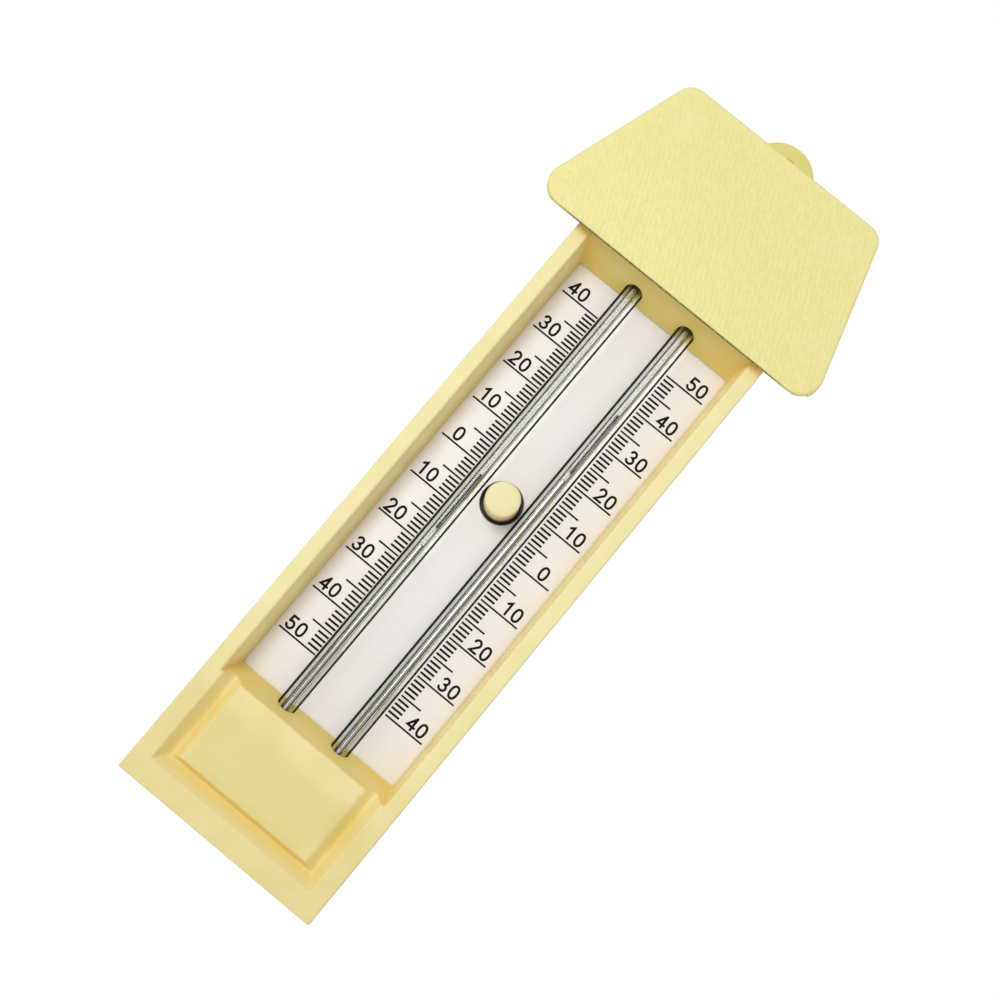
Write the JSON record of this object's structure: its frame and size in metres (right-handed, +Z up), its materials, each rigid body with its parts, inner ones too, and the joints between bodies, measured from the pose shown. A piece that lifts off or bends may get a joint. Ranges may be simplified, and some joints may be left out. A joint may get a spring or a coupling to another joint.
{
  "type": "maximum minimum thermometer",
  "caption": "Wall-hung push-button maximum minimum thermometer: cream case with deep recess, white scale plate, glass U-tube with mercury and steel indexes, rain hood and hanging eyelet.",
  "frame": {"origin": "middle of the rear cover's flat back, 108 mm above the case's lower edge", "axes": "+Z up as it hangs, +X to the reader's right, -Y out of the wall towards the reader"},
  "size_m": [0.084, 0.03, 0.2303],
  "materials": {
    "case_cream": "satin moulded cream-yellow plastic",
    "hood_cream": "finely stippled cream-yellow plastic",
    "scale_white": "printed white plastic",
    "clear_glass": "clear drawn glass",
    "mercury": "liquid metal",
    "spirit": "clear liquid",
    "index_steel": "blue-black coated steel",
    "carrier_grey": "moulded grey plastic",
    "magnet_black": "bonded magnet strip",
    "spring_steel": "drawn wire",
    "screw_zinc": "zinc plated",
    "foam_grey": "open-cell foam"
  },
  "bodies": {
    "case": {"front_case": "case_cream", "rear_cover": "case_cream", "rain_hood": "hood_cream", "scale_plate": "scale_white", "glass_u_tube": "clear_glass", "mercury_thread": "mercury", "spirit_bulb_fill": "spirit", "spirit_chamber_fill": "spirit", "return_spring": "spring_steel", "bulb_cushion": "foam_grey", "tube_saddle": "foam_grey", "cover_screw_1": "screw_zinc", "cover_screw_2": "screw_zinc", "cover_screw_3": "screw_zinc", "cover_screw_4": "screw_zinc", "hood_screw_1": "screw_zinc", "hood_screw_2": "screw_zinc"},
    "reset": {"reset_button": "case_cream", "magnet_carrier": "carrier_grey", "min_magnet": "magnet_black", "max_magnet": "magnet_black", "stem_retainer": "spring_steel"},
    "min_marker": {"min_index": "index_steel"},
    "max_marker": {"max_index": "index_steel"}
  },
  "joints": [
    {"name": "reset_press", "type": "slide", "parent": "case", "child": "reset", "axis": [0, 1, 0], "range_m": [0, 0.003], "stiffness_N_per_m": 300, "springref_m": -0.003, "deforming": ["return_spring"]},
    {"name": "min_index_slide", "type": "slide", "parent": "case", "child": "min_marker", "axis": [0, 0, 1], "range_m": [-0.0052, 0.066]},
    {"name": "max_index_slide", "type": "slide", "parent": "case", "child": "max_marker", "axis": [0, 0, 1], "range_m": [-0.0019, 0.035]}
  ]
}
